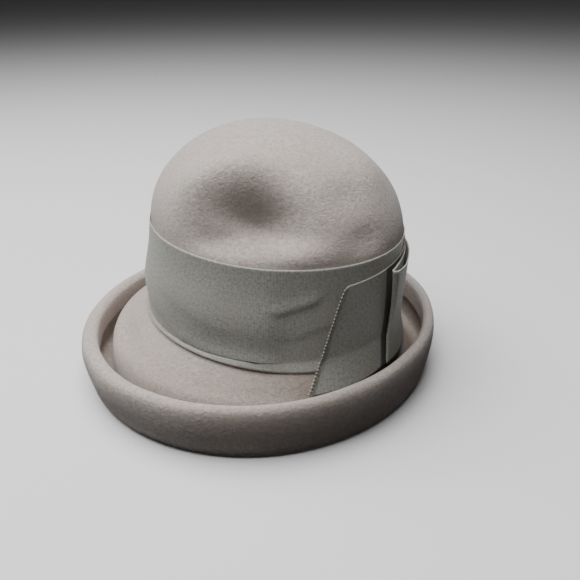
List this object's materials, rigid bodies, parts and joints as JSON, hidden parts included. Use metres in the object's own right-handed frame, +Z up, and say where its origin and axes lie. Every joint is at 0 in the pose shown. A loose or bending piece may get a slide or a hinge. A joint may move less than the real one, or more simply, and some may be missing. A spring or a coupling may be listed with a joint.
{
  "type": "wool felt hat",
  "caption": "Soft wool felt hat with a round dented crown, a rolled upturned brim, a wide ribbon band and a folded side bow.",
  "frame": {"origin": "under the middle of the brim, on the surface that the hat rests on", "axes": "+Z up the crown, -Y towards the front of the hat, +X towards the side with the bow"},
  "size_m": [0.2596, 0.2774, 0.177],
  "materials": {
    "wool_felt": "soft brushed wool felt, pale pinkish ecru",
    "band_ribbon": "ribbed sage grey ribbon with pale picot edges",
    "tail_ribbon": "ribbed sage grey ribbon with a saw-toothed cut end",
    "loop_ribbon": "ribbed sage grey ribbon with pale edges"
  },
  "bodies": {
    "root": {"felt_body": "wool_felt", "ribbon_band": "band_ribbon", "bow_tail": "tail_ribbon", "bow_loop": "loop_ribbon"}
  },
  "joints": []
}
